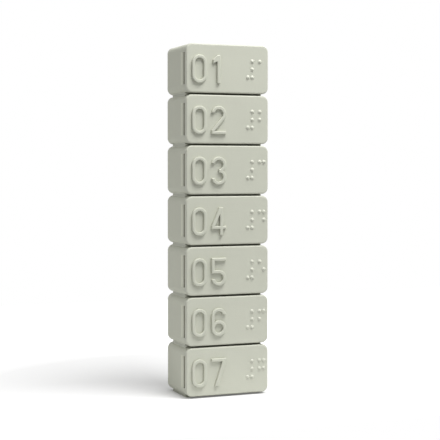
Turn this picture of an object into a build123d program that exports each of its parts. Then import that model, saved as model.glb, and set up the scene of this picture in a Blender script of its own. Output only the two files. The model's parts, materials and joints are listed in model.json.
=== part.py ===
"""Weekly pill box: an upright column of day boxes.

Each day is a rounded tub that opens to the front, with its own lid on an upright hinge pin at the
right. A link plate, set in from the sides, joins each tub to the next, and the lowest tub stands on
a foot plate of the same outline. The lids carry raised numbers and raised dots. Millimetres. X runs
to the right along the front, Y from the front to the back, and Z up from the face that the column
stands on.
"""
import os
from math import hypot

from build123d import *

# Column
day_count = 7
day_pitch = 27.0             # from one day to the next
day_gap = 1.0                # open gap between two tubs, and under the lowest one

# Tub
box_width = 47.4
box_depth = 30.2             # lid face to back
corner_radius = 3.4          # corners seen from the front
rear_edge_radius = 0.8
side_wall = 2.2              # opening side and both ends
back_wall = 1.8
mouth_radius = 2.0           # corners of the compartment
floor_radius = 1.8           # where the compartment's walls meet its back
least_radius = 0.2           # smallest rounding in the mould

# Lid
lid_thickness = 2.4
front_edge_radius = 0.8
seam_gap = 0.2               # lid to tub rim
plug_depth = 2.2             # rim under the lid, inside the tub's mouth
plug_wall = 1.0
plug_clearance = 0.25
bead_radius = 0.5            # closing bead on the plug, at the opening side
bead_clearance = 0.05        # bead to tub wall
bead_length = 8.0

# Nail groove, in the tub under the lid's opening edge
groove_length = 17.2
groove_width = 2.2           # square-cut part behind the rim
groove_lip = 0.3             # depth at the far edge of that part
groove_slope = 2.0           # from there out to the side of the tub
groove_floor = 0.8           # tub wall left under the groove

# Hinge
pin_radius = 0.6
pin_seat_clearance = 0.01    # pin pressed into the tub's knuckles
pin_running_clearance = 0.05
pin_end_inset = 0.2          # pin ends below the ends of the knuckles
knuckle_radius = 1.3
knuckle_clearance = 0.25
lid_knuckle_length = 8.0
tub_knuckle_length = 4.0
hinge_offset = 0.2           # axis outside the right face
hinge_standoff = 0.8         # knuckles behind the lid's inner face
hinge_backing = 1.35         # tub wall left behind the lid's knuckle

# Link plates and foot plate
link_side_inset = 1.7
link_front_inset = 5.2       # behind the lid face
link_rear_inset = 3.3
link_corner_radius = 1.2
peg_radius = 2.5
peg_inset = 9.0              # peg centre from the side of the plate
peg_clearance = 0.05
peg_end_clearance = 0.1
socket_floor = 0.7           # tub wall left under a peg

# Raised numbers
numeral_height = 15.0
numeral_stroke = 1.8
slant_stroke = 2.2           # level width of a slanting stroke
terminal_angle = 170         # end of an open bowl, round from its right side
two_leg_angle = 41           # where the hook of a two runs into its leg
numeral_relief = 1.3
numeral_root = 0.2           # sunk into the lid
numeral_edge_radius = 0.5
numeral_margin = 3.0         # box side to the first figure
numeral_spacing = 2.6        # between two figures
numeral_drop = 0.5           # below the middle of the lid

# Raised dots
dot_radius = 0.9
dot_relief = 0.65
dot_column_pitch = 2.5
dot_row_pitch = 4.3
dot_cell_pitch = 6.9
dot_margin = 2.6             # last column to the box side

# Places that follow
box_height = day_pitch - day_gap
left = -box_width / 2
right = box_width / 2
front = -box_depth / 2
back = box_depth / 2
lid_back = front + lid_thickness
rim = lid_back + seam_gap
axis_x = right + hinge_offset
axis_y = lid_back + hinge_standoff + knuckle_radius
pocket_radius = knuckle_radius + knuckle_clearance
hinge_wall = pocket_radius - hinge_offset + hinge_backing
lid_knuckle_end = lid_knuckle_length / 2
tub_knuckle_start = lid_knuckle_end + knuckle_clearance
tub_knuckle_end = tub_knuckle_start + tub_knuckle_length

mouth_left = left + side_wall
mouth_right = right - hinge_wall
mouth_height = box_height - 2 * side_wall
plug_left = mouth_left + plug_clearance
plug_right = axis_x - hypot(axis_x - mouth_right, axis_y - rim) - plug_clearance  # swings past the rim
plug_height = mouth_height - 2 * plug_clearance
groove_depth = side_wall - groove_floor
socket_depth = side_wall - socket_floor
peg_length = socket_depth - peg_end_clearance

link_left = left + link_side_inset
link_right = right - link_side_inset
link_front = front + link_front_inset
link_back = back - link_rear_inset

figure_top = numeral_height / 2
figure_reach = figure_top - numeral_stroke / 2   # middle of the top stroke
figure_bowl = figure_reach / 2                   # radius of a bowl, at the middle of its stroke
figure_side = figure_bowl + numeral_stroke / 2   # half the width of a figure

# Dots of a cell, numbered down its left column and then down its right one
dot_row_count = 3
number_sign = "3456"
digit_dots = ("245", "1", "12", "14", "145", "15", "124", "1245", "125", "24")   # for 0 to 9


def inner_radius(radius, inset):
    """Corner radius of an outline set in from a rounded one."""
    return max(radius - inset, least_radius)


def slab(outline, y_front, y_back):
    """Front-view outline, given thickness from y_front to y_back."""
    return extrude(Plane.XZ.offset(-y_back) * outline, y_back - y_front)


def rounded(x_low, x_high, height, radius):
    """Rounded rectangle seen from the front, centred in height."""
    return Pos((x_low + x_high) / 2, 0) * RectangleRounded(x_high - x_low, height, radius)


def block(x_low, x_high, y_low, y_high, half_height):
    """Square-cornered block, centred in height."""
    middle = Pos((x_low + x_high) / 2, (y_low + y_high) / 2, 0)
    return middle * Box(x_high - x_low, y_high - y_low, 2 * half_height)


def axis_rod(radius, z_low, z_high):
    """Cylinder on the hinge axis."""
    return Pos(axis_x, axis_y, (z_low + z_high) / 2) * Cylinder(radius, z_high - z_low)


def link_pegs(radius, z_low, length):
    """The two pegs, or sockets, where a link and a tub meet."""
    peg = Cylinder(radius, length, align=(Align.CENTER, Align.CENTER, Align.MIN))
    middle_y = (link_front + link_back) / 2
    return [Pos(x, middle_y, z_low) * peg for x in (link_left + peg_inset, link_right - peg_inset)]


def nail_groove():
    """Slot that opens under the lid's left edge and slopes out to the side of the tub."""
    profile = Polygon(
        (left, rim),
        (left + groove_depth, rim),
        (left + groove_depth, rim + groove_width),
        (left + groove_lip, rim + groove_width),
        (left, rim + groove_width + groove_slope),
        align=None,
    )
    return Pos(0, 0, -groove_length / 2) * extrude(profile, groove_length)


def day_tub(link_above):
    """One day's tub, centred in height, with its hinge knuckles and the sockets for its plates."""
    tub = slab(rounded(left, right, box_height, corner_radius), rim, back)
    tub = fillet(tub.faces().sort_by(Axis.Y)[-1].edges(), rear_edge_radius)
    room = slab(rounded(mouth_left, mouth_right, mouth_height, mouth_radius), rim, back - back_wall)
    room_back = room.faces().sort_by(Axis.Y)[-1]
    tub -= fillet(room_back.edges(), min(floor_radius, mouth_radius - least_radius))
    tub -= nail_groove()

    tub -= block(axis_x - pocket_radius, axis_x, rim, axis_y, tub_knuckle_start)
    tub -= axis_rod(pocket_radius, -tub_knuckle_start, tub_knuckle_start)
    tub += axis_rod(knuckle_radius, tub_knuckle_start, tub_knuckle_end)
    tub += axis_rod(knuckle_radius, -tub_knuckle_end, -tub_knuckle_start)
    tub -= axis_rod(pin_radius + pin_seat_clearance, -tub_knuckle_end, tub_knuckle_end)

    socket_radius = peg_radius + peg_clearance
    tub -= link_pegs(socket_radius, -box_height / 2, socket_depth)
    if link_above:
        tub -= link_pegs(socket_radius, box_height / 2 - socket_depth, socket_depth)
    return tub


def flat_stroke(z):
    """Level stroke across a figure."""
    return Pos(0, z) * Rectangle(2 * figure_side, numeral_stroke)


def upright_stroke(x, z_low, z_high):
    """Upright stroke of a figure."""
    return Pos(x, (z_low + z_high) / 2) * Rectangle(numeral_stroke, z_high - z_low)


def slant_between(x_top, z_top, x_low, z_low):
    """Slanting stroke with level ends, given by the right corner of each end."""
    corners = [(x_top, z_top), (x_top - slant_stroke, z_top), (x_low - slant_stroke, z_low), (x_low, z_low)]
    return Polygon(*corners, align=None)


def bowl_stroke(z, start, sweep):
    """Round stroke about a middle at height z, between two angles in degrees."""
    return trace(CenterArc((0, z), figure_bowl, start, sweep), numeral_stroke)


def bowl_ring(z):
    """Closed round stroke about a middle at height z."""
    return Pos(0, z) * (Circle(figure_side) - Circle(figure_side - numeral_stroke))


def figure_one():
    """Upright stroke with a flag at its top left."""
    flag_tip = figure_top - figure_bowl + numeral_stroke / 2
    flag = Polygon(
        (0, figure_top),
        (-numeral_stroke / 2, figure_top),
        (-figure_bowl, flag_tip),
        (-figure_bowl, flag_tip - slant_stroke),
        (0, figure_top - numeral_stroke / 2 - slant_stroke),
        align=None,
    )
    return flag + upright_stroke(0, -figure_top, figure_top)


def figure_two():
    """Hook that runs straight down to the left end of a level foot."""
    hook = CenterArc((0, figure_bowl), figure_bowl, terminal_angle, -terminal_angle - two_leg_angle)
    leg = Line(hook @ 1, hook @ 1 + (hook % 1) * numeral_height)
    below = Rectangle(4 * figure_side, numeral_height, align=(Align.CENTER, Align.MAX))
    beside = Rectangle(2 * figure_side, 2 * numeral_height, align=(Align.MAX, Align.CENTER))
    stroke = trace([hook, leg], numeral_stroke) - Pos(0, -figure_top) * below - Pos(-figure_side, 0) * beside
    return stroke + flat_stroke(-figure_reach)


def figure_four():
    """Post, beam and slant round a three-cornered hole."""
    post_right = figure_side - numeral_stroke
    beam_top = -figure_bowl + numeral_stroke / 2
    post = upright_stroke(post_right - numeral_stroke / 2, -figure_top, figure_top)
    slant = slant_between(post_right, figure_top, -figure_side + slant_stroke, beam_top)
    return slant + post + flat_stroke(-figure_bowl)


def figure_six():
    """Ring with a stem that bends over at the top."""
    stem = upright_stroke(-figure_bowl, -figure_bowl, figure_bowl)
    return bowl_ring(-figure_bowl) + stem + bowl_stroke(figure_bowl, 180, -terminal_angle)


def figure_outline(digit):
    """Plain figure in one stroke width, in a cell that is centred on the origin."""
    open_sweep = -terminal_angle - 90
    if digit == 0:
        hole = SlotOverall(
            2 * (figure_top - numeral_stroke), 2 * (figure_side - numeral_stroke), rotation=90
        )
        return SlotOverall(2 * figure_top, 2 * figure_side, rotation=90) - hole
    if digit == 1:
        return figure_one()
    if digit == 2:
        return figure_two()
    if digit == 3:
        upper = bowl_stroke(figure_bowl, terminal_angle, open_sweep)
        return upper + bowl_stroke(-figure_bowl, 90, open_sweep)
    if digit == 4:
        return figure_four()
    if digit == 5:
        stem = upright_stroke(-figure_bowl, -numeral_stroke / 2, figure_top)
        shelf = Rectangle(figure_side, numeral_stroke, align=(Align.MAX, Align.CENTER))
        return flat_stroke(figure_reach) + stem + shelf + bowl_stroke(-figure_bowl, 90, open_sweep)
    if digit == 6:
        return figure_six()
    if digit == 7:
        foot_right = numeral_stroke / 2 - figure_bowl + slant_stroke
        slant = slant_between(figure_side, figure_reach - numeral_stroke / 2, foot_right, -figure_top)
        return flat_stroke(figure_reach) + slant
    if digit == 8:
        return bowl_ring(figure_bowl) + bowl_ring(-figure_bowl)
    return Rot(0, 0, 180) * figure_six()


def raised_figure(digit, centre_x):
    """A figure that stands on the lid's face, with rounded edges."""
    outline = Pos(centre_x, -numeral_drop) * figure_outline(digit)
    figure = slab(outline, front - numeral_relief, front + numeral_root)
    return fillet(figure.faces().sort_by(Axis.Y)[0].edges(), numeral_edge_radius)


def raised_dots(day):
    """Shallow domes for a number, each the cap of a ball that is mostly inside the lid."""
    ball_radius = (dot_radius**2 + dot_relief**2) / (2 * dot_relief)
    ball_y = front - dot_relief + ball_radius
    cells = [number_sign] + [digit_dots[int(digit)] for digit in str(day)]
    first_column = right - dot_margin - dot_column_pitch - (len(cells) - 1) * dot_cell_pitch
    top_row_z = (dot_row_count - 1) / 2 * dot_row_pitch
    balls = []
    for number, cell in enumerate(cells):
        for dot in cell:
            column, row = divmod(int(dot) - 1, dot_row_count)
            x = first_column + number * dot_cell_pitch + column * dot_column_pitch
            balls.append(Pos(x, ball_y, top_row_z - row * dot_row_pitch) * Sphere(ball_radius))
    return balls


def day_lid(day):
    """One day's lid, centred in height, with its plug, hinge knuckle, number and dots."""
    lid = slab(rounded(left, right, box_height, corner_radius), front, lid_back)
    lid = fillet(lid.faces().sort_by(Axis.Y)[0].edges(), front_edge_radius)

    plug_radius = inner_radius(mouth_radius, plug_clearance)
    plug = rounded(plug_left, plug_right, plug_height, plug_radius)
    plug -= rounded(
        plug_left + plug_wall,
        plug_right - plug_wall,
        plug_height - 2 * plug_wall,
        inner_radius(plug_radius, plug_wall),
    )
    lid += slab(plug, lid_back, rim + plug_depth)
    bead_x = mouth_left + bead_clearance + bead_radius
    lid += Pos(bead_x, rim + plug_depth - 2 * bead_radius, 0) * Cylinder(bead_radius, bead_length)

    lid += block(axis_x - knuckle_radius, right, lid_back, axis_y, lid_knuckle_end)
    lid += axis_rod(knuckle_radius, -lid_knuckle_end, lid_knuckle_end)
    lid -= axis_rod(pin_radius + pin_running_clearance, -lid_knuckle_end, lid_knuckle_end)

    first_x = left + numeral_margin + figure_side
    lid += raised_figure(day // 10, first_x)
    lid += raised_figure(day % 10, first_x + 2 * figure_side + numeral_spacing)
    lid += raised_dots(day)
    return lid


def hinge_pin():
    """Plain steel pin through the knuckles of one lid, centred in height."""
    return axis_rod(pin_radius, -tub_knuckle_end + pin_end_inset, tub_knuckle_end - pin_end_inset)


def foot_plate():
    """Plate as thick as the gap, from z = 0 up, with pegs on its upper face."""
    middle = Pos((link_left + link_right) / 2, (link_front + link_back) / 2)
    outline = middle * RectangleRounded(link_right - link_left, link_back - link_front, link_corner_radius)
    return extrude(outline, day_gap) + link_pegs(peg_radius, day_gap, peg_length)


def link_plate():
    """Plate of the same outline between two tubs, with pegs on both faces."""
    return foot_plate() + link_pegs(peg_radius, -peg_length, peg_length)


def save(name, solid):
    """Write one piece under its own name."""
    export_step(solid, f"parts/{name}.step")


os.makedirs("parts", exist_ok=True)
for day in range(1, day_count + 1):
    base = (day_count - day) * day_pitch
    place = Pos(0, 0, base + day_gap + box_height / 2)
    save(f"day_{day}_tub", place * day_tub(day > 1))
    save(f"day_{day}_lid", place * day_lid(day))
    save(f"day_{day}_hinge_pin", place * hinge_pin())
    if day < day_count:
        save(f"link_plate_{day}_{day + 1}", Pos(0, 0, base) * link_plate())
save("foot_plate", foot_plate())
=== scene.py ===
"""Looks of the weekly pill box: matte moulded plastic, drawn steel pins and a plain white studio.

Metres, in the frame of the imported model: X to the right along the lids, Y from the lids to the
back, Z up the column.
"""
import json
import math

import bpy
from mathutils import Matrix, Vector


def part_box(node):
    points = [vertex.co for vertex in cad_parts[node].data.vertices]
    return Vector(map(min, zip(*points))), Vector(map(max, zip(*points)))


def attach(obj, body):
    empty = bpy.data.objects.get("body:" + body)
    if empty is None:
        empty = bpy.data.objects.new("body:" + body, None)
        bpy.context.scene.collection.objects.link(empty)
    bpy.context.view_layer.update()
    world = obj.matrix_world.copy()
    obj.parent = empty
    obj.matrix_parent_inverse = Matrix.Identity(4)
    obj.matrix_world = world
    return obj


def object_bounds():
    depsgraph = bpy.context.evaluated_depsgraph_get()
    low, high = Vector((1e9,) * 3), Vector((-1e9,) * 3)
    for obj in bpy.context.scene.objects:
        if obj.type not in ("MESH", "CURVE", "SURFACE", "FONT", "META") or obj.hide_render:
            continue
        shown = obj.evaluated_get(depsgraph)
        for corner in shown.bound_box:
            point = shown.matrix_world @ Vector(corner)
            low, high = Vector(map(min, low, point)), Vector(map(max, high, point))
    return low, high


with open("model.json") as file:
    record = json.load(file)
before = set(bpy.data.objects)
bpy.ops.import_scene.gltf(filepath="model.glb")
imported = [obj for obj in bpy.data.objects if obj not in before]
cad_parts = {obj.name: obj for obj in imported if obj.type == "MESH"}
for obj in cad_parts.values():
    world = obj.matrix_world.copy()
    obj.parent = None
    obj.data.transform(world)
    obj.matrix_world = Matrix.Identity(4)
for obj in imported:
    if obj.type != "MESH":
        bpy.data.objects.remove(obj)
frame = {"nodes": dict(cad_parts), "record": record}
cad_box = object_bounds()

MM = 0.001

# The column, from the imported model
days = range(1, 8)
column_body = "column"
tub_low, tub_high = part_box("day_1_tub")
day_pitch = tub_low.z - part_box("day_2_tub")[0].z
foot_low, foot_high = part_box("foot_plate")
tub_left = tub_low.x
tub_right = -tub_left                  # without the hinge knuckles
tub_rim = tub_low.y
tub_back = tub_high.y

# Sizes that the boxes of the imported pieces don't give
corner_radius = 3.4 * MM               # of tubs and lids, seen from the front
back_wall = 1.8 * MM
lid_thickness = 2.4 * MM
seam_gap = 0.2 * MM
plate_corner_radius = 1.2 * MM
groove_length = 17.2 * MM
groove_width = 2.2 * MM
groove_depth = 1.4 * MM
lid_back = tub_rim - seam_gap
lid_face = lid_back - lid_thickness

# Raised dots: a number sign and a digit, each in a cell of two columns and three rows
dot_column_pitch = 2.5 * MM
dot_row_pitch = 4.3 * MM
dot_cell_pitch = 6.9 * MM
dot_margin = 2.6 * MM                  # last column to the box side
dot_rows = 3
number_sign = "3456"
digit_dots = ("1", "12", "14", "145", "15", "124", "1245")     # for 1 to 7
crown_foot = 1.24 * MM
crown_height = 0.72 * MM
crown_fullness = 0.6                   # one is a plain cosine bell, less is fuller
crown_sink = 0.02 * MM
crown_sides = 24
crown_steps = 8                        # from foot to top

# Cheeks of the plates
cheek_reach = 1.2 * MM                 # into the crack
cheek_steps = 10

# Rings left by the mould's ejector pins
ring_radius = 2.0 * MM
ring_bead = 0.07 * MM
ring_sides = 32
bead_sides = 6
ring_spread_x = 13.0 * MM
ring_spread_z = 6.0 * MM
face_front = (math.pi / 2, 0, 0)       # turn of what is made lying flat

# Camera, from a perspective fit to the photograph
image_side = 440                       # pixels
focal_length = 1201.6                  # pixels
axis_row = 208                         # where the lens axis meets the image, pixels from the top
sensor_width = 36.0                    # millimetres on the film
camera_turn = math.radians(21.92)      # to the left of straight in front
camera_tilt = math.radians(1.858)      # downwards
camera_distance = 658.4 * MM
camera_sidestep = 1.47 * MM
camera_height = 122.5 * MM

# Light
key_turn = math.radians(30)            # to the right of straight in front
key_rise = math.radians(63)
key_distance = 0.75
key_width = 0.54
key_height = 0.34
key_power = 6.22                       # watts
sky_bright = 0.48                      # on the key's side
sky_dim = 0.395                        # on the other side
floor_reach = 0.45                     # to the sides and behind
floor_front = 0.10
floor_white = 0.77                     # for light that bounces off the floor
floor_seen = 0.75                      # where the camera sees it, with the lift added
floor_lift = 0.23
contact_shadow_lift = 0.12                    # the lift close under the column, lower there as a painted contact shadow
contact_reach = 10 * MM
contact_full = 0.6                     # how covered the floor is where that lift is reached
edge_fade_start = 0.14                 # from the middle, where the floor starts to fade to white
edge_fade_end = 0.22
edge_lift = 0.4

# Moulded plastic
tub_colour = (0.586, 0.598, 0.497)
lid_colour = (0.580, 0.592, 0.502)
# the plates' colour is the tubs' pigment made darker: painted shade on the recessed plates
link_shaded_colour = (0.450, 0.461, 0.382)
# paler colour on convex edges: partly wear, partly a painted highlight
worn_and_sheen_colour = (0.68, 0.69, 0.61)
# painted shade: a darker colour in crevices, creases and gaps between parts, where shade falls
painted_shade_colour = (0.09, 0.086, 0.04)
# painted shade in the nail grooves of the tubs
groove_shade_colour = (0.21, 0.20, 0.13)
# painted light on a strip of the tubs' sides behind the nail grooves
groove_light_colour = (0.70, 0.71, 0.585)
tub_roughness = 0.55
lid_roughness = 0.52
link_roughness = 0.58
plastic_specular = 0.35
plastic_ior = 1.46
cloud_size = 14 * MM
cloud_detail = 3.0
cloud_tone = 0.015                     # lighter and darker than the pigment
cloud_gloss = 0.04                     # rougher and smoother
fleck_size = 0.5 * MM
fleck_tone = 0.02
grain_size = 0.28 * MM
grain_height = 0.02 * MM
grain_detail = 2.0                     # of the flecks too
wave_size = 9 * MM
wave_height = 0.02 * MM
wave_detail = 0.0
noise_low = 0.3                        # most noise lies between these two
noise_high = 0.7
edge_reach = 0.6 * MM
edge_start = 0.1                       # how sharp an edge is where rubbing starts
edge_full = 0.6                        # and where it is strongest
edge_rub_and_sheen = 0.3                         # share of the worn colour, which is partly wear and partly a painted highlight
edge_polish = 0.1                      # roughness that is lost
crevice_reach = 2.0 * MM
tub_painted_shade_start = 0.5                  # how closed in a crevice is where painted shade starts
lid_painted_shade_start = 0.40
link_painted_shade_start = 0.3
painted_shade_full = 0.85                      # and where the painted shade is darkest
painted_shade_share = 0.9
occlusion_samples = 8
lit_strip_start = 1.2 * MM              # behind the groove, where the strip of painted light starts
lit_strip_width = 2.2 * MM
lit_strip_soft = 0.8 * MM
groove_lip = 0.5 * MM                  # left without painted shade at the outside
groove_soft = 0.5 * MM
groove_end_soft = 0.6 * MM
groove_floor_soft = 0.4 * MM

# Drawn steel
steel_colour = (0.58, 0.57, 0.55)
steel_tones = (0.88, 1.06)
steel_roughness = (0.24, 0.38)
streak_width = 0.06 * MM
streak_length = 6 * MM
streak_depth = 0.004 * MM
streak_detail = 3.0

# Sockets of the Mix node when it mixes colours
MIX_A = 6
MIX_B = 7
MIX_RESULT = 2


class Graph:
    """The nodes of one material, world or shape, added one at a time and wired as they come."""

    def __init__(self, tree):
        self.tree = tree
        tree.nodes.clear()

    def add(self, kind, inputs=None, **settings):
        """Add a node, with its settings, and fill its inputs with values or with other outputs."""
        node = self.tree.nodes.new(kind)
        for name, value in settings.items():
            setattr(node, name, value)
        for name, value in (inputs or {}).items():
            if isinstance(value, bpy.types.NodeSocket):
                self.tree.links.new(value, node.inputs[name])
            else:
                node.inputs[name].default_value = value
        return node

    def calc(self, operation, first, second=0.0):
        """One sum on one or two values."""
        return self.add("ShaderNodeMath", {0: first, 1: second}, operation=operation).outputs["Value"]

    def product(self, first, *others):
        """All the values multiplied."""
        for other in others:
            first = self.calc("MULTIPLY", first, other)
        return first

    def parts(self, vector):
        """X, Y and Z of a vector."""
        return self.add("ShaderNodeSeparateXYZ", {"Vector": vector}).outputs

    def spread(self, value, low, high, start=noise_low, end=noise_high):
        """Map a value from start..end to low..high."""
        inputs = {"Value": value, "From Min": start, "From Max": end, "To Min": low, "To Max": high}
        return self.add("ShaderNodeMapRange", inputs).outputs["Result"]

    def about(self, noise, middle, swing):
        """Map noise to values on both sides of a middle one."""
        return self.spread(noise, middle - swing, middle + swing)

    def within(self, value, start, end, soft):
        """One between start and end, and nothing outside them, with soft ends."""
        after = self.spread(value, 0.0, 1.0, start - soft / 2, start + soft / 2)
        before = self.spread(value, 1.0, 0.0, end - soft / 2, end + soft / 2)
        return self.product(after, before)

    def vector(self, operation, first, second=(0, 0, 0)):
        """One sum on one or two vectors, whose outcome is a vector or a value."""
        return self.add("ShaderNodeVectorMath", {0: first, 1: second}, operation=operation).outputs

    def noise(self, place, size, detail):
        """Noise whose lumps have about that size."""
        inputs = {"Vector": place, "Scale": 1 / size, "Detail": detail}
        return self.add("ShaderNodeTexNoise", inputs).outputs["Fac"]

    def mix(self, share, first, second):
        """Mix two colours."""
        inputs = {"Factor": share, MIX_A: first, MIX_B: second}
        return self.add("ShaderNodeMix", inputs, data_type="RGBA").outputs[MIX_RESULT]

    def toned(self, colour, tone):
        """A colour made lighter or darker."""
        inputs = {"Value": tone, "Color": rgba(colour)}
        return self.add("ShaderNodeHueSaturation", inputs).outputs["Color"]

    def occlusion(self, reach, inside):
        """How closed in the surface is by what is near it, or how sharp its own edge is from inside."""
        node = self.add(
            "ShaderNodeAmbientOcclusion",
            {"Distance": reach},
            inside=inside,
            only_local=inside,
            samples=occlusion_samples,
        )
        return self.calc("SUBTRACT", 1.0, node.outputs["AO"])


class Repeat(Graph):
    """A small shape with named sizes, made once and copied to every point that it is given."""

    def __init__(self, name, **sizes):
        super().__init__(bpy.data.node_groups.new(name, "GeometryNodeTree"))
        self.sizes = sizes
        sockets = self.tree.interface
        sockets.new_socket("places", in_out="INPUT", socket_type="NodeSocketGeometry")
        sockets.new_socket("finish", in_out="INPUT", socket_type="NodeSocketMaterial")
        for size in sizes:
            sockets.new_socket(size, in_out="INPUT", socket_type="NodeSocketFloat")
        sockets.new_socket("copies", in_out="OUTPUT", socket_type="NodeSocketGeometry")
        self.given = self.add("NodeGroupInput").outputs

    def circle(self, sides, radius):
        """A closed curve."""
        inputs = {"Resolution": sides, "Radius": radius}
        return self.add("GeometryNodeCurvePrimitiveCircle", inputs).outputs["Curve"]

    def moved(self, mesh, position):
        """The mesh with its points moved to a position worked out for each."""
        return self.add("GeometryNodeSetPosition", {"Geometry": mesh, "Position": position}).outputs[0]

    def end(self, shape, smooth):
        """Copy the shape to the places, turned as each place says, and give it its finish."""
        soft = self.add("GeometryNodeSetShadeSmooth", {0: shape, "Selection": smooth}).outputs[0]
        turn = self.add("GeometryNodeInputNamedAttribute", {"Name": "turn"}, data_type="FLOAT_VECTOR")
        copies = self.add("GeometryNodeInstanceOnPoints", {
            "Points": self.given["places"],
            "Instance": soft,
            "Rotation": turn.outputs["Attribute"],
        })
        whole = self.add("GeometryNodeRealizeInstances", {"Geometry": copies.outputs[0]}).outputs[0]
        inputs = {"Geometry": whole, "Material": self.given["finish"]}
        finished = self.add("GeometryNodeSetMaterial", inputs).outputs[0]
        self.add("NodeGroupOutput", {"copies": finished})

    def make(self, name, places, body, slot):
        """One plain mesh of all the copies, which moves with a body."""
        points = bpy.data.meshes.new(f"{name}_places")
        points.from_pydata([place for place, turn in places], [], [])
        turns = points.attributes.new("turn", "FLOAT_VECTOR", "POINT")
        turns.data.foreach_set("vector", [angle for place, turn in places for angle in turn])
        holder = bpy.data.objects.new(f"{name}_places", points)
        bpy.context.scene.collection.objects.link(holder)
        modifier = holder.modifiers.new("copies", "NODES")
        modifier.node_group = self.tree
        values = {**self.sizes, "finish": finishes[slot]}
        for socket in self.tree.interface.items_tree:
            if socket.name in values:
                modifier[socket.identifier] = values[socket.name]

        depsgraph = bpy.context.evaluated_depsgraph_get()
        mesh = bpy.data.meshes.new_from_object(holder.evaluated_get(depsgraph), depsgraph=depsgraph)
        bpy.data.objects.remove(holder)
        piece = bpy.data.objects.new(name, mesh)
        bpy.context.scene.collection.objects.link(piece)
        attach(piece, body)


def rgba(colour):
    """A colour with full alpha."""
    return (*colour, 1.0)


def material_graph(name):
    """A new material and its empty graph."""
    material = bpy.data.materials.new(name)
    material.use_nodes = True
    return material, Graph(material.node_tree)


def lid_middle(day):
    """Level of the middle of a day's lid."""
    low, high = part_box(f"day_{day}_lid")
    return (low.z + high.z) / 2


def groove_paint_masks(graph, place):
    """Where shade is painted into the grooves of the tubs, and where a strip of painted light lies on the
    side behind them.
    """
    x, y, z = graph.parts(place)
    above_lowest = graph.calc("SUBTRACT", z, lid_middle(days[-1]))
    from_nearest = graph.calc("PINGPONG", above_lowest, day_pitch / 2)
    along = graph.within(from_nearest, -groove_length / 2, groove_length / 2, groove_end_soft)
    groove_end = tub_rim + groove_width
    groove = graph.within(y, lid_back, groove_end, groove_soft)
    rub_start = groove_end + lit_strip_start
    strip = graph.within(y, rub_start, rub_start + lit_strip_width, lit_strip_soft)
    groove_floor = tub_left + groove_depth
    below = graph.spread(x, 0.0, 1.0, tub_left, tub_left + groove_lip)
    outside = graph.spread(x, 1.0, 0.0, groove_floor, groove_floor + groove_floor_soft)
    return graph.product(groove, along, below, outside), graph.product(strip, along, outside)


def moulded_plastic(name, colour, roughness, painted_shade_start, painted_groove=False):
    """Matte plastic from a spark-eroded mould: fine grain, faint clouds of pigment, paler edges that are
    partly wear and partly a painted highlight, and painted shade in crevices.
    """
    material, graph = material_graph(name)
    place = graph.add("ShaderNodeTexCoord").outputs["Object"]
    clouds = graph.noise(place, cloud_size, cloud_detail)
    flecks = graph.noise(place, fleck_size, grain_detail)
    grain = graph.noise(place, grain_size, grain_detail)
    waves = graph.noise(place, wave_size, wave_detail)
    edges = graph.occlusion(edge_reach, True)
    crevices = graph.occlusion(crevice_reach, False)

    tone = graph.product(graph.about(clouds, 1.0, cloud_tone), graph.about(flecks, 1.0, fleck_tone))
    # Paler convex edges: partly rubbed wear, partly a painted highlight on edges and fillets
    rubbed_and_sheen = graph.spread(edges, 0.0, edge_rub_and_sheen, edge_start, edge_full)
    surface_colour = graph.mix(rubbed_and_sheen, graph.toned(colour, tone), rgba(worn_and_sheen_colour))
    # Painted shade in the nail grooves, and painted light on the strip behind them
    if painted_groove:
        groove_shade, lit_strip = groove_paint_masks(graph, place)
        surface_colour = graph.mix(groove_shade, surface_colour, rgba(groove_shade_colour))
        surface_colour = graph.mix(lit_strip, surface_colour, rgba(groove_light_colour))
    # Painted shade in crevices, creases and the gaps between parts, darker the more closed in they are
    painted_shade = graph.spread(crevices, 0.0, painted_shade_share, painted_shade_start, painted_shade_full)
    surface_colour = graph.mix(painted_shade, surface_colour, rgba(painted_shade_colour))

    polish = graph.spread(edges, 0.0, edge_polish, edge_start, edge_full)
    gloss = graph.calc("SUBTRACT", graph.about(clouds, roughness, cloud_gloss), polish)
    swell = graph.add("ShaderNodeBump", {"Height": waves, "Distance": wave_height}).outputs[0]
    inputs = {"Height": grain, "Distance": grain_height, "Normal": swell}
    tooth = graph.add("ShaderNodeBump", inputs).outputs[0]

    surface = graph.add("ShaderNodeBsdfPrincipled", {
        "Base Color": surface_colour,
        "Roughness": gloss,
        "Normal": tooth,
        "Specular IOR Level": plastic_specular,
        "IOR": plastic_ior,
    })
    graph.add("ShaderNodeOutputMaterial", {"Surface": surface.outputs[0]})
    return material


def drawn_steel(name):
    """Steel wire with fine streaks along its length."""
    material, graph = material_graph(name)
    place = graph.add("ShaderNodeTexCoord").outputs["Object"]
    streak_scale = (1 / streak_width, 1 / streak_width, 1 / streak_length)
    drawn = graph.add("ShaderNodeMapping", {"Vector": place, "Scale": streak_scale}).outputs[0]
    streaks = graph.noise(drawn, 1.0, streak_detail)
    lines = graph.add("ShaderNodeBump", {"Height": streaks, "Distance": streak_depth})
    surface = graph.add("ShaderNodeBsdfPrincipled", {
        "Base Color": graph.toned(steel_colour, graph.spread(streaks, *steel_tones)),
        "Metallic": 1.0,
        "Roughness": graph.spread(streaks, *steel_roughness),
        "Normal": lines.outputs[0],
    })
    graph.add("ShaderNodeOutputMaterial", {"Surface": surface.outputs[0]})
    return material


def dress_packed_pieces():
    """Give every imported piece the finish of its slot."""
    for subpart in frame["record"]["subparts"]:
        for slot in frame["nodes"][subpart["node"]].material_slots:
            slot.material = finishes[subpart["material_slot"]]


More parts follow.
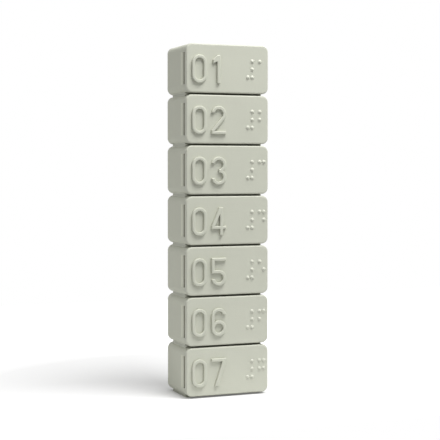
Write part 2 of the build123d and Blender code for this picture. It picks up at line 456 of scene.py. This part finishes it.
def dot_crown():
    """Crown with a soft foot that is fitted over one raised dot."""
    crown = Repeat("dot_crown", foot=crown_foot, height=crown_height, fullness=crown_fullness)
    foot, height, fullness = (crown.given[size] for size in crown.sizes)
    cone = crown.add("GeometryNodeMeshCone", {
        "Vertices": crown_sides,
        "Side Segments": crown_steps,
        "Radius Top": 0.0,
        "Radius Bottom": foot,
        "Depth": height,
    })
    place = crown.add("GeometryNodeInputPosition").outputs["Position"]
    flat = crown.vector("MULTIPLY", place, (1, 1, 0))["Vector"]
    away = crown.vector("LENGTH", flat)["Value"]
    turn = crown.product(crown.calc("DIVIDE", away, foot), math.pi)
    bell = crown.spread(crown.calc("COSINE", turn), 0.0, 1.0, -1.0, 1.0)
    rise = crown.product(crown.calc("POWER", bell, fullness), height)
    lift = crown.add("ShaderNodeCombineXYZ", {"Z": rise}).outputs[0]
    domed = crown.vector("ADD", flat, lift)["Vector"]
    crown.end(crown.moved(cone.outputs["Mesh"], domed), cone.outputs["Side"])
    return crown


def dot_places(day):
    """Where the dots of a day's number lie on its lid, and the turn that faces them to the front."""
    first_column = tub_right - dot_margin - dot_column_pitch - dot_cell_pitch
    top_row = lid_middle(day) + (dot_rows - 1) / 2 * dot_row_pitch
    places = []
    for number, cell in enumerate((number_sign, digit_dots[day - 1])):
        for dot in cell:
            column, row = divmod(int(dot) - 1, dot_rows)
            x = first_column + number * dot_cell_pitch + column * dot_column_pitch
            place = (x, lid_face + crown_sink, top_row - row * dot_row_pitch)
            places.append((place, face_front))
    return places


def plate_cheek():
    """Wedge that closes the crack between the side of a plate and a tub's rounded corner."""
    cheek = Repeat(
        "plate_cheek",
        reach=cheek_reach,
        length=foot_high.y - foot_low.y - 2 * plate_corner_radius,
        inset=foot_low.x - tub_left,
        corner=corner_radius,
    )
    reach, length, inset, corner = (cheek.given[size] for size in cheek.sizes)
    size = cheek.add("ShaderNodeCombineXYZ", {"X": reach, "Y": length, "Z": 1.0}).outputs[0]
    block = cheek.add("GeometryNodeMeshCube", {"Size": size, "Vertices X": cheek_steps}).outputs["Mesh"]
    x, y, z = cheek.parts(cheek.add("GeometryNodeInputPosition").outputs["Position"])
    inward = cheek.calc("ADD", x, cheek.product(reach, 0.5))
    level = cheek.calc("SUBTRACT", cheek.calc("SUBTRACT", corner, inset), inward)
    below = cheek.calc("SUBTRACT", cheek.product(corner, corner), cheek.product(level, level))
    opening = cheek.calc("SUBTRACT", corner, cheek.calc("SQRT", below))
    height = cheek.product(cheek.calc("ADD", z, 0.5), opening)
    wedge = cheek.add("ShaderNodeCombineXYZ", {"X": inward, "Y": y, "Z": height}).outputs[0]
    cheek.end(cheek.moved(block, wedge), False)
    return cheek


def cheek_places():
    """Both sides of every plate, under each tub and on top of each tub that has a plate above it."""
    middle = (foot_low.y + foot_high.y) / 2
    places = []
    for day in days:
        low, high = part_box(f"day_{day}_tub")
        places.append(((foot_low.x, middle, low.z), (0, 0, 0)))
        places.append(((foot_high.x, middle, low.z), (0, 0, math.pi)))
        if day > days[0]:
            places.append(((foot_low.x, middle, high.z), (math.pi, 0, 0)))
            places.append(((foot_high.x, middle, high.z), (math.pi, 0, math.pi)))
    return places


def ejector_ring():
    """Fine raised ring that an ejector pin leaves on the inside of a moulding."""
    ring = Repeat("ejector_ring", radius=ring_radius, bead=ring_bead)
    path = ring.circle(ring_sides, ring.given["radius"])
    bead = ring.circle(bead_sides, ring.given["bead"])
    inputs = {"Curve": path, "Profile Curve": bead}
    ring.end(ring.add("GeometryNodeCurveToMesh", inputs).outputs["Mesh"], True)
    return ring


def ring_places(day, y):
    """Four rings about the middle of a day's box, on a wall at that y."""
    return [
        ((x, y, lid_middle(day) + z), face_front)
        for x in (-ring_spread_x, ring_spread_x)
        for z in (-ring_spread_z, ring_spread_z)
    ]


def add_fine_pieces():
    """The repeated details: crowns on the dots, cheeks on the plates and rings inside the boxes."""
    crown = dot_crown()
    ring = ejector_ring()
    floor_rings = []
    for day in days:
        lid = f"day_{day}_lid"
        crown.make(f"day_{day}_dot_crowns", dot_places(day), lid, "lid_plastic")
        ring.make(f"day_{day}_lid_rings", ring_places(day, lid_back), lid, "lid_plastic")
        floor_rings += ring_places(day, tub_back - back_wall)
    ring.make("tub_floor_rings", floor_rings, column_body, "tub_plastic")
    plate_cheek().make("plate_cheeks", cheek_places(), column_body, "link_plastic")


def seen_rays(graph):
    """One for rays from the camera, a mirror or a lens, and nothing for light that bounces."""
    path = graph.add("ShaderNodeLightPath").outputs
    mirrored = graph.calc("MAXIMUM", path["Is Camera Ray"], path["Is Glossy Ray"])
    return graph.calc("MAXIMUM", mirrored, path["Is Transmission Ray"])


def studio_floor():
    """White floor that the column stands on, with a painted contact shadow close under the column."""
    mesh = bpy.data.meshes.new("studio_floor")
    corners = [
        (-floor_reach, -floor_front, 0),
        (floor_reach, -floor_front, 0),
        (floor_reach, floor_reach, 0),
        (-floor_reach, floor_reach, 0),
    ]
    mesh.from_pydata(corners, [], [(0, 1, 2, 3)])
    floor = bpy.data.objects.new("studio_floor", mesh)
    bpy.context.scene.collection.objects.link(floor)

    material, graph = material_graph("floor_white")
    seen = seen_rays(graph)
    covered = graph.occlusion(contact_reach, False)
    place = graph.add("ShaderNodeTexCoord").outputs["Object"]
    away = graph.vector("LENGTH", place)["Value"]
    # Painted contact shadow: less lift where the floor is closed in near the column
    lift_with_contact_shadow = graph.spread(covered, floor_lift, contact_shadow_lift, 0.0, contact_full)
    far_lift = graph.spread(away, 0.0, edge_lift, edge_fade_start, edge_fade_end)
    lift = graph.product(seen, graph.calc("ADD", lift_with_contact_shadow, far_lift))
    white = graph.spread(seen, floor_white, floor_seen, 0.0, 1.0)
    matte = graph.add("ShaderNodeBsdfDiffuse", {"Color": white})
    glow = graph.add("ShaderNodeEmission", {"Strength": lift})
    both = graph.add("ShaderNodeAddShader", {0: matte.outputs[0], 1: glow.outputs[0]})
    graph.add("ShaderNodeOutputMaterial", {"Surface": both.outputs[0]})
    mesh.materials.append(material)


def key_direction():
    """From the object towards the key light."""
    level = math.cos(key_rise)
    return Vector((math.sin(key_turn) * level, -math.cos(key_turn) * level, math.sin(key_rise)))


def studio_sky():
    """Soft light from all round, brighter on the key's side, and a white background."""
    world = bpy.data.worlds.new("studio_sky")
    world.use_nodes = True
    graph = Graph(world.node_tree)
    ahead = graph.add("ShaderNodeTexCoord").outputs["Generated"]
    facing = graph.vector("DOT_PRODUCT", ahead, key_direction())["Value"]
    strength = graph.spread(facing, sky_dim, sky_bright, -1.0, 1.0)
    light = graph.add("ShaderNodeBackground", {"Color": rgba((1, 1, 1)), "Strength": strength})
    white = graph.add("ShaderNodeBackground", {"Color": rgba((1, 1, 1)), "Strength": 1.0})
    sky = graph.add("ShaderNodeMixShader", {0: seen_rays(graph), 1: light.outputs[0], 2: white.outputs[0]})
    graph.add("ShaderNodeOutputWorld", {"Surface": sky.outputs[0]})
    bpy.context.scene.world = world


def key_light():
    """Oval softbox at the upper right, in front."""
    lamp = bpy.data.lights.new("key_light", "AREA")
    lamp.shape = "ELLIPSE"
    lamp.size = key_width
    lamp.size_y = key_height
    lamp.energy = key_power
    key = bpy.data.objects.new("key_light", lamp)
    key.location = (cad_box[0] + cad_box[1]) / 2 + key_direction() * key_distance
    key.rotation_euler = key_direction().to_track_quat("Z", "Y").to_euler()
    key.visible_camera = False
    bpy.context.scene.collection.objects.link(key)


def photo_camera():
    """Camera at the photograph's place, to the left of the lids and a little above the middle."""
    lens = bpy.data.cameras.new("photo_camera")
    lens.sensor_width = sensor_width
    lens.lens = focal_length / image_side * sensor_width
    lens.shift_y = (axis_row - image_side / 2) / image_side
    camera = bpy.data.objects.new("photo_camera", lens)
    ahead = Vector((math.sin(camera_turn), math.cos(camera_turn), 0))
    aside = Vector((math.cos(camera_turn), -math.sin(camera_turn), 0))
    camera.location = aside * camera_sidestep - ahead * camera_distance + Vector((0, 0, camera_height))
    camera.rotation_euler = (math.pi / 2 - camera_tilt, 0, -camera_turn)
    bpy.context.scene.collection.objects.link(camera)
    bpy.context.scene.camera = camera


bpy.context.scene.view_settings.view_transform = "Standard"
finishes = {
    "tub_plastic": moulded_plastic("tub_plastic", tub_colour, tub_roughness, tub_painted_shade_start, painted_groove=True),
    "lid_plastic": moulded_plastic("lid_plastic", lid_colour, lid_roughness, lid_painted_shade_start),
    "link_plastic": moulded_plastic("link_plastic", link_shaded_colour, link_roughness, link_painted_shade_start),
    "pin_steel": drawn_steel("pin_steel"),
}
dress_packed_pieces()
add_fine_pieces()
studio_floor()
studio_sky()
key_light()
photo_camera()
